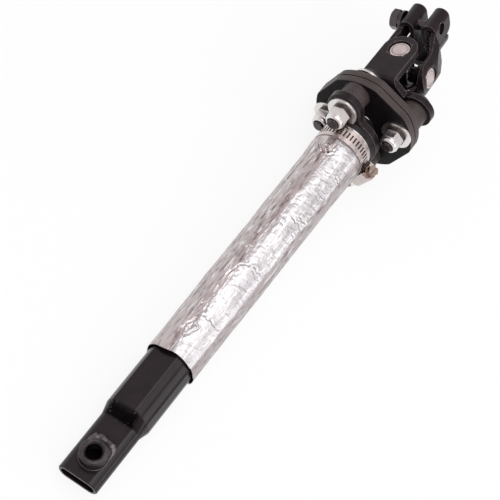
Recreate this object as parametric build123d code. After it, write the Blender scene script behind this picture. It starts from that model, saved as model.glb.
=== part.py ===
from build123d import *
import math
import os

os.makedirs("parts", exist_ok=True)

# Steering column coupling, in millimetres. +X runs along the shaft from the lower socket to the
# column clamp, +Z is up, and the origin is the centre of the socket's mouth.

# Lower tube: a flattened socket, a shoulder and a double-D telescoping tube
socket_width = 27.4
socket_thickness = 11.9
socket_wall = 2.0
socket_length = 41.5
shoulder_length = 8.5
shoulder_steps = ((0.0, 0.0), (0.1, 0.04), (0.9, 0.96), (1.0, 1.0))
socket_side_flat = 0.7
tube_length = 205.0
tube_radius = 15.6
tube_across_flats = 26.5
tube_across_sides = 30.6
tube_wall = 2.4
tube_turn = 5.0          # the tube's flats, turned from the flange yoke's ears
socket_turn = 21.0       # the socket's flats, turned from the flange yoke's ears
end_chamfer = 0.6

# Threaded collar welded on the socket
collar_place = 15.5
collar_diameter = 17.6
collar_height = 7.6
collar_thread_diameter = 10.0
collar_mouth_diameter = 12.4
collar_rim_round = 1.7
collar_hole_clearance = 0.6   # the hole in the socket's wall, round the thread
weld_bead_radius = 2.4
weld_bead_sweep = 200.0

# Telescoping inner shaft and its plastic bush
bush_length = 34.0
bush_clearance = 0.05
bush_wall = 0.9
slide_clearance = 0.08
inner_shaft_start = 108.0
inner_shaft_bore = 12.0

# Flange yoke
flange_face = 303.0      # near face of the flange plate
flange_thickness = 6.0
flange_nut_gap = 0.6     # from the flange plate to the collars of the fork's nuts
ear_radius = 12.6
ear_blend = 7.0
neck_radius = 17.2
neck_length = 38.0
neck_flare_radius = 20.2
neck_flare_length = 4.0
flange_edge_round = 1.4
flange_dome_radius = 15.0   # the closed end of the neck, on the plate's far face
flange_dome_height = 6.0
flange_dome_round = 3.5
weld_clearance = 0.04

# Bolts of the coupling disc
bolt_diameter = 8.0
nut_band_gap = 0.6       # from the hose clamp's band to the corners of the flange's nuts
bolt_head_height = 5.3
bolt_hole_clearance = 0.2
hex_across_flats = 13.0
washer_diameter = 21.4
washer_thickness = 1.8
washer_seat_clearance = 0.3
lock_washer_diameter = 14.0
lock_washer_thickness = 2.0
lock_washer_gap = 1.2
nut_height = 9.4
nut_collar_height = 3.2
nut_collar_diameter = 12.6
nut_insert_height = 2.2
nut_lip_height = 0.8
nut_insert_radius = 4.9
nut_mouth_radius = 4.6
nut_collar_round = 1.8
thread_fit = 0.02
bolt_end_length = 1.6    # how far a bolt stands out of its nut
bolt_end_chamfer = 0.6

# Rubber coupling disc
disc_gap = 11.6          # from the flange plate to the disc: the height of a boss
disc_thickness = 11.8
disc_margin = 10.3       # from a bolt's axis to the disc's edge
disc_across_flats = 70.0
disc_corner_blend = 9.0
disc_bore = 17.0
disc_groove_width = 0.8
disc_groove_depth = 0.9
disc_edge_round = 1.2
boss_diameter = 19.4
disc_sleeve_diameter = 12.0
sleeve_fit = 0.02

# Universal joint
fork_thickness = 5.0
fork_arm_width = 25.0
fork_outer = 21.8        # from the shaft's axis to an arm's outer face
fork_web_half = 9.6      # half the web's width where it meets a flange ear
fork_bend_inner = 2.5
fork_bend_outer = 5.0
joint_height = 27.0      # from the fork's floor to the middle of the cross
yoke_lean = 3.5          # how far the joint is bent as it lies, about the fork's pivot
yoke_nod = 1.3           # and about the upper yoke's pivot
cap_diameter = 15.6
cap_wall = 1.2
cap_floor = 1.6
cap_reach = 20.6         # from the middle of the cross to a cap's outer face
cap_length = 9.4
cap_fit = 0.02
cap_rim_round = 0.5
stake_count = 4
stake_depth = 0.5
stake_width = 1.6
stake_length = 1.3
trunnion_diameter = 9.2
trunnion_tip_gap = 0.15
trunnion_root_diameter = 11.6
trunnion_root_gap = 1.4  # from a trunnion's root to its cap
roller_diameter = 1.9
roller_clearance = 0.05
roller_count = 16
roller_length = 6.2
cross_hub_size = 14.5
cross_hub_height = 12.5
cross_hub_round = 3.0
seal_thickness = 1.2

# Upper yoke and its clamp
yoke_sheet = 5.4
yoke_radius = 21.8       # the ears are curved about the shaft's axis
yoke_ear_radius = 12.2
yoke_bend_rise = 9.6     # above the middle of the cross, where the arms start to lean inwards
yoke_shoulder_rise = 22.0
yoke_shoulder_half_width = 18.6
yoke_shoulder_back = 3.0
clamp_rise = 25.5        # from the middle of the cross to the clamp's lower edge
clamp_length = 21.5
clamp_half_width = 14.4
clamp_front = 22.6       # how far the folded lobes reach in front of the axis
clamp_side_front = 6.0   # where the lobes' outer sheet ends, in front of the axis
clamp_slit = 5.6
clamp_sheet = 3.2
clamp_lobe_round = 5.5
clamp_corner_round = 6.0 # the upper back corner of a lobe's outer sheet
column_bore = 16.0
clamp_ring_wall = 4.0
yoke_throat_rise = 22.3  # from the middle of the cross to the back wall's lower edge
pinch_bolt_offset = 15.1
pinch_bolt_rise = 9.0    # above the clamp's lower edge
pinch_bolt_clearance = 0.25
pinch_bolt_reach = 9.0   # how far the bolt reaches past the axis
pinch_head_height = 5.6
pinch_washer_diameter = 15.0
pinch_washer_thickness = 1.6
pinch_spring_diameter = 12.6
pinch_spring_thickness = 1.7

# Heat-shield sleeve
shield_start = 92.4
shield_end = 299.5
shield_thickness = 0.8
shield_tube_gap = 0.55  # from the tube to the sleeve, at its lower end
shield_neck_gap = 0.1   # from the flange yoke's neck to the sleeve
shield_bulge = 0.7

# Hose clamp
band_width = 11.0
band_place = 292.5
band_thickness = 0.7
band_slot_length = 5.0
band_slot_width = 1.2
band_slot_count = 44
band_plain_angle = 30.0   # without slots, to each side of the screw
band_tail_length = 9.4    # from the tangent point under the screw housing
band_tail_slots = 2
band_tail_margin = 3.7    # from the tail's end to its last slot
band_tail_round = 3.0
housing_turn = 48.0       # the screw housing, turned from the fork's flange ears
housing_length = 13.6
housing_width = 13.0
housing_wall = 0.9
housing_round = 4.6
screw_diameter = 7.0
screw_thread_length = 12.0
screw_head_across_flats = 6.5
screw_head_length = 4.0
screw_collar_diameter = 8.4
screw_collar_length = 1.0
screw_slot_width = 1.0
screw_slot_depth = 1.2
clamp_clearance = 0.05

# Places along the shaft that follow from the sizes
shoulder_end = socket_length + shoulder_length
disc_start = flange_face + flange_thickness + disc_gap
disc_end = disc_start + disc_thickness
fork_face = disc_end + disc_gap
fork_floor = fork_face + fork_thickness
joint_place = fork_floor + joint_height
clamp_low = joint_place + clamp_rise
clamp_high = clamp_low + clamp_length
shield_low_radius = tube_radius + shield_tube_gap + shield_thickness
shield_high_radius = neck_radius + shield_neck_gap + shield_thickness
band_inner_radius = shield_high_radius + clamp_clearance
band_outer_radius = band_inner_radius + band_thickness
bolt_ring = band_outer_radius + nut_band_gap + hex_across_flats / math.sqrt(3)
flange_radius = bolt_ring - nut_collar_diameter / 2 - flange_nut_gap
disc_radius = bolt_ring + disc_margin
trunnion_root = cap_reach - cap_length - trunnion_root_gap
bolt_hole_radius = bolt_diameter / 2 + bolt_hole_clearance

# The shaft's own frame: local z runs along the shaft, local x points at a fork ear, and the two
# ears of the flange yoke lie along local y. The disc's bolts stand at 45 degrees to the ground.
ear_turn = math.radians(45.0)
shaft = Plane(
    origin=(0, 0, 0),
    x_dir=(0, -math.cos(ear_turn), math.sin(ear_turn)),
    z_dir=(1, 0, 0),
)


def write(name, *solids):
    """Place solids of the shaft's frame in the part's frame and write them as one node."""
    placed = [shaft.location * solid for item in solids for solid in item.solids()]
    node = placed[0] if len(placed) == 1 else Compound(children=placed)
    export_step(node, f"parts/{name}.step")
    print(name, len(placed), round(sum(solid.volume for solid in placed), 1))


def cylinder(radius, low, high):
    """A round bar on the shaft's axis."""
    return Pos(0, 0, low) * Cylinder(radius, high - low, align=(Align.CENTER, Align.CENTER, Align.MIN))


def ring(outer, inner, low, high):
    """A round ring on the shaft's axis."""
    return cylinder(outer, low, high) - cylinder(inner, low - 1, high + 1)


def prism(sketch, low, high):
    """A sketch of the shaft's cross-section, drawn out from one station to another."""
    return extrude(Plane.XY.offset(low) * sketch, amount=high - low)


def spin(shape, angle):
    """Turn a shape about the shaft's axis."""
    return Rot(0, 0, angle) * shape


def tube_outline(blend, inset=0.0):
    """The lower tube's section: its socket where blend is 0, its double-D tube where blend is 1."""
    def between(socket_value, tube_value):
        return socket_value + (tube_value - socket_value) * blend

    socket_half = socket_thickness / 2 - inset
    socket_flat = (socket_width - socket_thickness) / 2
    radius = tube_radius - inset
    tube_half = tube_across_flats / 2 - inset
    tube_side = tube_across_sides / 2 - inset
    tube_flat = math.sqrt(radius ** 2 - tube_half ** 2)
    tube_end = math.sqrt(radius ** 2 - tube_side ** 2)
    tube_corner = (math.atan2(tube_half, tube_flat) + math.atan2(tube_end, tube_side)) / 2
    slant = math.sqrt(0.5)

    side = between(socket_width / 2 - inset, tube_side)
    end = between(socket_side_flat / 2, tube_end)
    flat = between(socket_flat, tube_flat)
    half = between(socket_half, tube_half)
    corner_x = between(socket_flat + socket_half * slant, radius * math.cos(tube_corner))
    corner_y = between(socket_half * slant, radius * math.sin(tube_corner))
    quarter = [
        Line((side, 0), (side, end)),
        ThreePointArc((side, end), (corner_x, corner_y), (flat, half)),
        Line((flat, half), (0, half)),
    ]
    half_outline = quarter + [mirror(edge, about=Plane.YZ) for edge in quarter]
    return make_face(half_outline + [mirror(edge, about=Plane.XZ) for edge in half_outline])


def lower_tube():
    """Socket, shoulder and telescoping tube, drawn from one length of steel tube."""
    socket = spin(prism(tube_outline(0), 0, socket_length), socket_turn)
    socket = chamfer(socket.faces().sort_by(Axis.Z)[0].edges(), end_chamfer)
    tube = spin(prism(tube_outline(1), shoulder_end, tube_length), tube_turn)
    shoulder = loft(
        [
            Pos(0, 0, socket_length + shoulder_length * along)
            * spin(tube_outline(blend), socket_turn + (tube_turn - socket_turn) * blend)
            for along, blend in shoulder_steps
        ],
        ruled=True,
    )
    socket_hole = spin(prism(tube_outline(0, socket_wall), -1, shoulder_end + 1), socket_turn)
    tube_hole = spin(prism(tube_outline(1, tube_wall), shoulder_end, tube_length + 1), tube_turn)
    hole_radius = collar_thread_diameter / 2 + collar_hole_clearance
    collar_hole = collar_frame() * Cylinder(hole_radius, 2 * socket_wall + 1)
    return socket + shoulder + tube - socket_hole - tube_hole - collar_hole


def collar_frame():
    """Where the threaded collar stands: its local z points out of the socket's flat."""
    out = Vector(0, -1, 0).rotate(Axis.Z, socket_turn)
    foot = out * (socket_thickness / 2) + Vector(0, 0, collar_place)
    return Plane(origin=foot, x_dir=(0, 0, 1), z_dir=out).location


def weld_collar():
    """The threaded collar with the weld bead round its far side."""
    radius = collar_diameter / 2
    collar = Pos(0, 0, collar_height / 2) * Cylinder(radius, collar_height)
    collar = fillet(collar.edges().group_by(Axis.Z)[-1], collar_rim_round)
    thread_radius = collar_thread_diameter / 2
    mouth = collar_mouth_diameter / 2 - thread_radius
    collar -= Cylinder(thread_radius, 3 * collar_height)
    collar -= Pos(0, 0, collar_height - mouth / 2) * Cone(thread_radius, thread_radius + mouth, mouth)
    bead_section = Circle(weld_bead_radius) & Pos(0, weld_bead_radius) * Rectangle(
        2 * weld_bead_radius, 2 * weld_bead_radius
    )
    bead = revolve(Plane.XZ * Pos(radius, 0) * bead_section, Axis.Z, weld_bead_sweep)
    bead = Rot(0, 0, -weld_bead_sweep / 2) * bead
    flat = Box(4 * radius, socket_width - socket_thickness, 4 * weld_bead_radius)
    return collar_frame() * (collar + (bead & flat))


def slide_bush():
    """Plastic bush pressed into the tube's far end."""
    outside = tube_wall + bush_clearance
    section = tube_outline(1, outside) - tube_outline(1, outside + bush_wall)
    return spin(prism(section, tube_length - bush_length, tube_length), tube_turn)


def inner_shaft():
    """Double-D shaft that slides in the bush and is welded in the flange yoke's neck."""
    section = tube_outline(1, tube_wall + bush_clearance + bush_wall + slide_clearance)
    far_end = flange_face + flange_thickness - weld_clearance
    bar = prism(section, inner_shaft_start, far_end)
    bore = cylinder(inner_shaft_bore / 2, inner_shaft_start - 1, far_end + 1)
    return spin(bar - bore, tube_turn)


def flange_outline():
    """Round flange plate with an ear for each of its two bolts."""
    ears = Pos(0, -bolt_ring) * Circle(ear_radius) + Pos(0, bolt_ring) * Circle(ear_radius)
    plate = Circle(flange_radius) + ears
    return fillet(plate.vertices(), ear_blend)


def flange_yoke():
    """Stamped flange plate with a neck that holds the inner shaft and the sleeve."""
    far_face = flange_face + flange_thickness
    plate = prism(flange_outline(), flange_face, far_face)
    plate = fillet(plate.faces().sort_by(Axis.Z)[0].outer_wire().edges(), flange_edge_round)
    neck_start = flange_face - neck_length
    flare_start = flange_face - neck_flare_length
    flare = [
        Line((0, neck_start), (neck_radius, neck_start)),
        Line((neck_radius, neck_start), (neck_radius, flare_start)),
        TangentArc((neck_radius, flare_start), (neck_flare_radius, flange_face + 1), tangent=(0, 1)),
        Line((neck_flare_radius, flange_face + 1), (0, flange_face + 1)),
        Line((0, flange_face + 1), (0, neck_start)),
    ]
    neck = revolve(Plane.XZ * make_face(flare), Axis.Z)
    shaft_inset = tube_wall + bush_clearance + bush_wall + slide_clearance - weld_clearance
    shaft_hole = spin(prism(tube_outline(1, shaft_inset), neck_start - 1, far_face), tube_turn)
    dome = cylinder(flange_dome_radius, far_face, far_face + flange_dome_height)
    dome = fillet(dome.edges().group_by(Axis.Z)[-1], flange_dome_round)
    yoke = plate + neck - shaft_hole + dome
    seat_radius = washer_diameter / 2 + washer_seat_clearance
    seat_low = flange_face - washer_thickness - washer_seat_clearance
    for side in (-1, 1):
        yoke -= Pos(0, side * bolt_ring) * cylinder(bolt_hole_radius, flange_face - 1, far_face + 1)
        yoke -= Pos(0, side * bolt_ring) * cylinder(seat_radius, seat_low, flange_face)
    return yoke


def coupling_disc():
    """Two-ply rubber disc with a boss towards each flange ear."""
    square = Rot(0, 0, 45) * Rectangle(disc_across_flats, disc_across_flats)
    outline = Circle(disc_radius) & square
    outline = fillet(outline.vertices(), disc_corner_blend)
    disc = prism(outline, disc_start, disc_end)
    disc = fillet(disc.edges().group_by(Axis.Z)[0] + disc.edges().group_by(Axis.Z)[-1], disc_edge_round)
    middle = (disc_start + disc_end) / 2
    groove = prism(
        offset(outline, 1) - offset(outline, -disc_groove_depth),
        middle - disc_groove_width / 2,
        middle + disc_groove_width / 2,
    )
    disc -= groove
    for side in (-1, 1):
        boss = cylinder(boss_diameter / 2, flange_face + flange_thickness, disc_start)
        disc += Pos(0, side * bolt_ring) * boss
        disc += Pos(side * bolt_ring, 0) * cylinder(boss_diameter / 2, disc_end, fork_face)
    disc -= cylinder(disc_bore / 2, disc_start - 1, disc_end + 1)
    for sleeve in disc_sleeve_places():
        place, low, high = sleeve
        disc -= place * cylinder(disc_sleeve_diameter / 2 + sleeve_fit, low - 1, high + 1)
    return disc


def disc_sleeve_places():
    """Where the four steel sleeves stand: place, lower end and upper end."""
    near = [(Pos(0, side * bolt_ring), flange_face + flange_thickness, disc_end) for side in (-1, 1)]
    far = [(Pos(side * bolt_ring, 0), disc_start, fork_face) for side in (-1, 1)]
    return near + far


def disc_sleeves():
    """Steel sleeves that keep the bolts from crushing the rubber."""
    return [
        place * ring(disc_sleeve_diameter / 2, bolt_hole_radius, low, high)
        for place, low, high in disc_sleeve_places()
    ]


def hexagon(across_flats, low, high):
    """A hexagonal prism with its corners chamfered at the upper end."""
    corner = across_flats / math.sqrt(3)
    body = prism(RegularPolygon(corner, 6), low, high)
    rise = corner - across_flats / 2
    cone = Pos(0, 0, high - rise / 2) * Cone(corner + rise, across_flats / 2, rise)
    return body & (cylinder(corner + rise, low, high - rise) + cone)


def disc_bolt(seat, nut_seat):
    """A bolt whose head stands on seat and whose nut starts at nut_seat, below it."""
    tip = nut_seat - nut_height - bolt_end_length
    shank = chamfer(cylinder(bolt_diameter / 2, tip, seat).edges().group_by(Axis.Z)[0], bolt_end_chamfer)
    return shank + hexagon(hex_across_flats, seat, seat + bolt_head_height)


def washer(low, diameter=washer_diameter, thickness=washer_thickness):
    """A plain washer for the disc's bolts."""
    return ring(diameter / 2, bolt_hole_radius, low, low + thickness)


def lock_washer(low, diameter=lock_washer_diameter, thickness=lock_washer_thickness):
    """A split spring washer."""
    gap = Pos(diameter / 2, 0, low) * Box(diameter, lock_washer_gap, 4 * thickness)
    return washer(low, diameter, thickness) - gap


def lock_nut(seat):
    """A lock nut below its seat: hexagon, round collar and the recess of its nylon ring."""
    hexagon_height = nut_height - nut_collar_height
    body = mirror(hexagon(hex_across_flats, 0, hexagon_height), about=Plane.XY)
    body &= Pos(0, 0, -hexagon_height) * hexagon(hex_across_flats, 0, hexagon_height)
    collar = mirror(cylinder(nut_collar_diameter / 2, 0, nut_height), about=Plane.XY)
    collar = fillet(collar.edges().group_by(Axis.Z)[0], nut_collar_round)
    nut = Pos(0, 0, seat) * (body + collar)
    nut -= cylinder(bolt_diameter / 2 + thread_fit, seat - nut_height - 1, seat + 1)
    lip = seat - nut_height + nut_lip_height
    nut -= cylinder(nut_mouth_radius, seat - nut_height - 1, lip)
    return nut - cylinder(nut_insert_radius, lip, lip + nut_insert_height)


def nut_insert(seat):
    """The nylon ring in the recess of a lock nut."""
    low = seat - nut_height + nut_lip_height
    outer = nut_insert_radius - thread_fit
    return ring(outer, bolt_diameter / 2 + thread_fit, low, low + nut_insert_height)


def at_flange_ears(solid):
    """Two copies of a solid at the flange yoke's bolts."""
    return [Pos(0, side * bolt_ring) * solid for side in (-1, 1)]


def at_fork_ears(solid):
    """Two copies of a solid at the fork's bolts."""
    return [Pos(side * bolt_ring, 0) * solid for side in (-1, 1)]


def fork_plan():
    """The fork's floor: two flange ears, and a web between them that is widest at the arms."""
    ear_side = bolt_ring - ear_radius / 2
    corners = [(fork_arm_width / 2, fork_outer), (ear_side, fork_web_half)]
    corners += [(x, -y) for x, y in reversed(corners)]
    corners += [(-x, -y) for x, y in corners]
    plan = make_face(Polyline(*corners, close=True))
    for side in (-1, 1):
        plan += Pos(side * bolt_ring, 0) * Circle(ear_radius)
    return plan


def fork_yoke():
    """Stamped fork: a floor with two flange ears, and two arms bent up from it."""
    arm_radius = fork_arm_width / 2
    top = joint_place + arm_radius
    outer = fillet((Pos(0, (fork_face + top) / 2) * Rectangle(2 * fork_outer, top - fork_face))
                   .vertices().group_by(Axis.Y)[0], fork_bend_outer)
    inner_half = fork_outer - fork_thickness
    inner = fillet((Pos(0, (fork_floor + top + 1) / 2) * Rectangle(2 * inner_half, top + 1 - fork_floor))
                   .vertices().group_by(Axis.Y)[0], fork_bend_inner)
    channel = extrude(Plane.YZ * (outer - inner), amount=2 * bolt_ring, both=True)
    side_view = Pos(0, (fork_face + joint_place) / 2) * Rectangle(fork_arm_width, joint_place - fork_face)
    side_view += Pos(0, joint_place) * Circle(arm_radius)
    arms = channel & extrude(Plane.XZ * side_view, amount=2 * fork_outer, both=True)
    base = channel & prism(fork_plan(), fork_face, fork_floor)
    yoke = base + arms - cap_bores(Axis.Y)
    for side in (-1, 1):
        yoke -= Pos(side * bolt_ring, 0) * cylinder(bolt_hole_radius, fork_face - 1, fork_floor + 1)
    return yoke - stake_marks(Axis.Y, fork_outer, stake_depth)


def joint_frames(axis):
    """Frames at the middle of the cross whose local z points out along both trunnions of an axis."""
    middle = Vector(0, 0, joint_place)
    return [Plane(origin=middle, z_dir=axis.direction * side, x_dir=(0, 0, 1)) for side in (-1, 1)]


def on_trunnions(axis, solid):
    """Two copies of a solid, modelled outwards along local z, at both ends of an axis."""
    return [frame.location * solid for frame in joint_frames(axis)]


def cap_bores(axis):
    """The round holes that the bearing caps sit in."""
    bore = cylinder(cap_diameter / 2 + cap_fit, cap_reach - cap_length, 2 * fork_outer)
    return Compound(on_trunnions(axis, bore))


def stake_marks(axis, face, depth):
    """Small dents round a cap's hole, where the ear was staked over the cap."""
    marks = []
    for number in range(stake_count):
        mark = Pos(cap_diameter / 2 + stake_length / 2, 0, face) * Box(stake_length, stake_width, 2 * depth)
        marks.append(Rot(0, 0, 360 / stake_count * (number + 0.5)) * mark)
    return Compound(on_trunnions(axis, Compound(marks)))


def bearing_cap():
    """A pressed steel cup, modelled along local z from the middle of the cross."""
    low = cap_reach - cap_length
    cap = cylinder(cap_diameter / 2, low, cap_reach)
    cap = fillet(cap.edges().group_by(Axis.Z)[-1], cap_rim_round)
    return cap - cylinder(cap_diameter / 2 - cap_wall, low - 1, cap_reach - cap_floor)


def needle_rollers():
    """The ring of needle rollers between a trunnion and its cap."""
    pitch_radius = trunnion_diameter / 2 + roller_clearance + roller_diameter / 2
    high = cap_reach - cap_floor - trunnion_tip_gap
    roller = Pos(pitch_radius, 0) * cylinder(roller_diameter / 2, high - roller_length, high)
    return [Rot(0, 0, 360 / roller_count * number) * roller for number in range(roller_count)]


def cap_seal():
    """The rubber ring in a cap's mouth."""
    low = cap_reach - cap_length
    outer = cap_diameter / 2 - cap_wall - cap_fit
    return ring(outer, trunnion_diameter / 2 + roller_clearance, low, low + seal_thickness)


def cross():
    """Forged cross with four ground trunnions."""
    hub = Pos(0, 0, joint_place) * Box(cross_hub_size, cross_hub_size, cross_hub_height)
    hub = fillet(hub.edges(), cross_hub_round)
    tip = cap_reach - cap_floor - trunnion_tip_gap
    arm = cylinder(trunnion_diameter / 2, 0, tip) + cylinder(trunnion_root_diameter / 2, 0, trunnion_root)
    for axis in (Axis.X, Axis.Y):
        for trunnion in on_trunnions(axis, arm):
            hub += trunnion
    return hub


def clamp_section():
    """The upper yoke's clamp: a split ring with two lobes of folded sheet."""
    lobe_width = clamp_half_width - clamp_slit / 2
    lobe_depth = clamp_front - clamp_side_front
    lobe = Pos(0, lobe_depth / 2) * Rectangle(lobe_width, lobe_depth)
    lobe = fillet(lobe.vertices().group_by(Axis.Y)[-1], clamp_lobe_round)
    hollow_width = lobe_width - 2 * clamp_sheet
    hollow_depth = lobe_depth - clamp_sheet
    hollow = Pos(0, hollow_depth / 2 - 1) * Rectangle(hollow_width, hollow_depth + 2)
    hollow = fillet(hollow.vertices().group_by(Axis.Y)[-1], clamp_lobe_round - clamp_sheet)
    section = Circle(column_bore / 2 + clamp_ring_wall)
    holes = Circle(column_bore / 2) + Pos(0, -clamp_front / 2) * Rectangle(clamp_slit, clamp_front)
    for side in (-1, 1):
        place = Pos(side * (clamp_slit + lobe_width) / 2, -clamp_side_front) * Rot(0, 0, 180)
        section += place * lobe
        holes += place * hollow - Circle(column_bore / 2 + clamp_ring_wall)
    return section - holes


def clamp_corners():
    """What is rounded off the upper back corners of the lobes' outer sheets."""
    middle = Pos(-clamp_side_front - clamp_corner_round, clamp_high - clamp_corner_round)
    block = Rectangle(2 * clamp_corner_round, 2 * clamp_corner_round)
    block = Pos(clamp_corner_round, clamp_corner_round) * block
    outside = Plane.YZ * (middle * (block - Circle(clamp_corner_round)))
    corner = extrude(outside, amount=2 * clamp_half_width, both=True)
    inside = clamp_half_width - clamp_sheet
    return corner - Box(2 * inside, 4 * clamp_front, 4 * clamp_high)


def upper_yoke():
    """Stamped yoke: two curved ears, bent-in arms, and the folded clamp on top of them."""
    clamp = prism(clamp_section(), clamp_low, clamp_high)
    throat = joint_place + yoke_throat_rise
    back = ring(column_bore / 2 + clamp_ring_wall, column_bore / 2, throat, clamp_low)
    back_depth = clamp_front + clamp_side_front
    back_middle = (clamp_front - clamp_side_front) / 2
    back &= Pos(0, back_middle, joint_place) * Box(2 * clamp_front, back_depth, 2 * clamp_high)
    bend = joint_place + yoke_bend_rise
    ear_low = joint_place - yoke_ear_radius
    shoulder = joint_place + yoke_shoulder_rise
    profile = Polyline(
        (yoke_radius, ear_low),
        (yoke_radius, bend),
        (yoke_shoulder_half_width, shoulder),
        (clamp_half_width, clamp_low),
        (clamp_half_width, clamp_high),
        (clamp_half_width - clamp_sheet, clamp_high),
        (clamp_half_width - clamp_sheet, clamp_low),
        (clamp_half_width - clamp_sheet, shoulder),
        (yoke_radius - yoke_sheet, bend + 1),
        (yoke_radius - yoke_sheet, ear_low),
        close=True,
    )
    arm = extrude(Plane.XZ * make_face(profile), amount=2 * clamp_front, both=True)
    arms = arm + mirror(arm, about=Plane.YZ)
    side_view = Polyline(
        (yoke_ear_radius, joint_place),
        (yoke_ear_radius, bend),
        (yoke_shoulder_back, shoulder),
        (-clamp_side_front, clamp_low),
        (-clamp_side_front, clamp_high - 1),
        (clamp_lobe_round - clamp_front, clamp_high - 1),
        (clamp_lobe_round - clamp_front, clamp_low),
        (-yoke_ear_radius, bend),
        (-yoke_ear_radius, joint_place),
        close=True,
    )
    outline = make_face(side_view) + Pos(0, joint_place) * Circle(yoke_ear_radius)
    arms &= extrude(Plane.YZ * outline, amount=2 * yoke_radius, both=True)
    arms &= cylinder(yoke_radius, ear_low - 1, clamp_high)
    yoke = clamp + back + arms - clamp_corners() - cap_bores(Axis.X)
    yoke -= cylinder(column_bore / 2, joint_place + yoke_ear_radius, clamp_high + 1)
    yoke -= pinch_frame() * Cylinder(bolt_diameter / 2 + pinch_bolt_clearance, 4 * clamp_half_width)
    stake_offset = (cap_diameter / 2 + stake_length) * math.sqrt(0.5)
    curve_depth = yoke_radius - math.sqrt(yoke_radius ** 2 - stake_offset ** 2)
    return yoke - stake_marks(Axis.X, yoke_radius, curve_depth + stake_depth)


def pinch_frame():
    """On the pinch bolt's axis, beside the shaft, with local z towards the bolt's tip."""
    place = (0, -pinch_bolt_offset, clamp_low + pinch_bolt_rise)
    return Plane(origin=place, x_dir=(0, 0, 1), z_dir=(1, 0, 0)).location


def pinch_stack():
    """Stations of the head, spring washer and plain washer along the pinch bolt."""
    plain_low = -clamp_half_width - pinch_washer_thickness
    spring_low = plain_low - pinch_spring_thickness
    return spring_low, plain_low


def pinch_bolt():
    """The hexagon bolt that closes the clamp."""
    seat, _ = pinch_stack()
    shank = cylinder(bolt_diameter / 2, seat, pinch_bolt_reach)
    shank = chamfer(shank.edges().group_by(Axis.Z)[-1], bolt_end_chamfer)
    head = mirror(hexagon(hex_across_flats, 0, pinch_head_height), about=Plane.XY)
    return pinch_frame() * (shank + Pos(0, 0, seat) * head)


def pinch_washers():
    """The plain washer and the split spring washer under the pinch bolt's head."""
    spring_low, plain_low = pinch_stack()
    plain = washer(plain_low, pinch_washer_diameter, pinch_washer_thickness)
    spring = lock_washer(spring_low, pinch_spring_diameter, pinch_spring_thickness)
    return [pinch_frame() * plain, pinch_frame() * spring]


def heat_shield():
    """Foil sleeve, a little wider at its clamped end."""
    bulge_place = band_place - band_width
    band_low = band_place - band_width / 2
    middle = (shield_start + bulge_place) / 2
    middle_radius = (shield_low_radius + shield_high_radius) / 2
    outline = [
        Line((shield_low_radius - shield_thickness, shield_start), (shield_low_radius, shield_start)),
        Line((shield_low_radius, shield_start), (middle_radius, middle)),
        Line((middle_radius, middle), (shield_high_radius + shield_bulge, bulge_place)),
        Line((shield_high_radius + shield_bulge, bulge_place), (shield_high_radius, band_low)),
        Line((shield_high_radius, band_low), (shield_high_radius, shield_end)),
        Line((shield_high_radius, shield_end), (shield_high_radius - shield_thickness, shield_end)),
    ]
    inner = [Pos(-shield_thickness, 0) * edge for edge in outline[1:5]]
    return revolve(Plane.XZ * make_face(outline + inner), Axis.Z)


def band_frame():
    """At the hose clamp's screw: local x points out, local y runs back along the screw."""
    return Pos(0, 0, band_place) * Rot(0, 0, housing_turn)


def clamp_band():
    """Slotted band with its free end standing out behind the screw housing."""
    band = band_frame() * ring(band_outer_radius, band_inner_radius, -band_width / 2, band_width / 2)
    cutter = Box(4 * band_thickness, band_slot_width, band_slot_length)
    slots = []
    for number in range(band_slot_count):
        angle = 360 / band_slot_count * (number + 0.5)
        if abs((angle + 180) % 360 - 180) > band_plain_angle:
            slots.append(band_frame() * Rot(0, 0, angle) * Pos(band_inner_radius, 0) * cutter)
    band -= Compound(slots)
    tail_place = Pos(band_outer_radius + clamp_clearance + band_thickness / 2, band_tail_length / 2, 0)
    tail = Box(band_thickness, band_tail_length, band_width)
    tail = fillet(tail.edges().filter_by(Axis.X).group_by(Axis.Y)[-1], band_tail_round)
    pitch = 2 * math.pi * band_inner_radius / band_slot_count
    for number in range(band_tail_slots):
        tail -= Pos(0, band_tail_length / 2 - band_tail_margin - pitch * number) * cutter
    return [band, band_frame() * tail_place * tail]


def screw_place():
    """Distance from the shaft's axis to the hose clamp's screw."""
    return band_outer_radius + 2 * clamp_clearance + band_thickness + screw_diameter / 2


def along_screw(solid):
    """Turn a solid modelled along local z so that it runs along the hose clamp's screw."""
    return band_frame() * Pos(screw_place(), 0, 0) * Rot(-90, 0, 0) * solid


def clamp_housing():
    """Pressed housing over the worm, open at both ends."""
    base = band_outer_radius + clamp_clearance
    high = screw_place() + screw_diameter / 2 + clamp_clearance + housing_wall
    height = high - base
    arch = Pos(base + height / 2, 0) * Rectangle(height, housing_width)
    arch = fillet(arch.vertices().group_by(Axis.X)[-1], housing_round)
    tunnel = Pos(screw_place(), 0) * Circle(screw_diameter / 2 + clamp_clearance)
    slot_height = band_thickness + 2 * clamp_clearance
    tunnel += Pos(base + slot_height / 2, 0) * Rectangle(slot_height, band_width + 2 * clamp_clearance)
    tunnel += Pos((base + screw_place()) / 2, 0) * Rectangle(screw_place() - base, screw_diameter)
    body = extrude(Plane.XZ * (arch - tunnel), amount=housing_length / 2, both=True)
    return band_frame() * body


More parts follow.
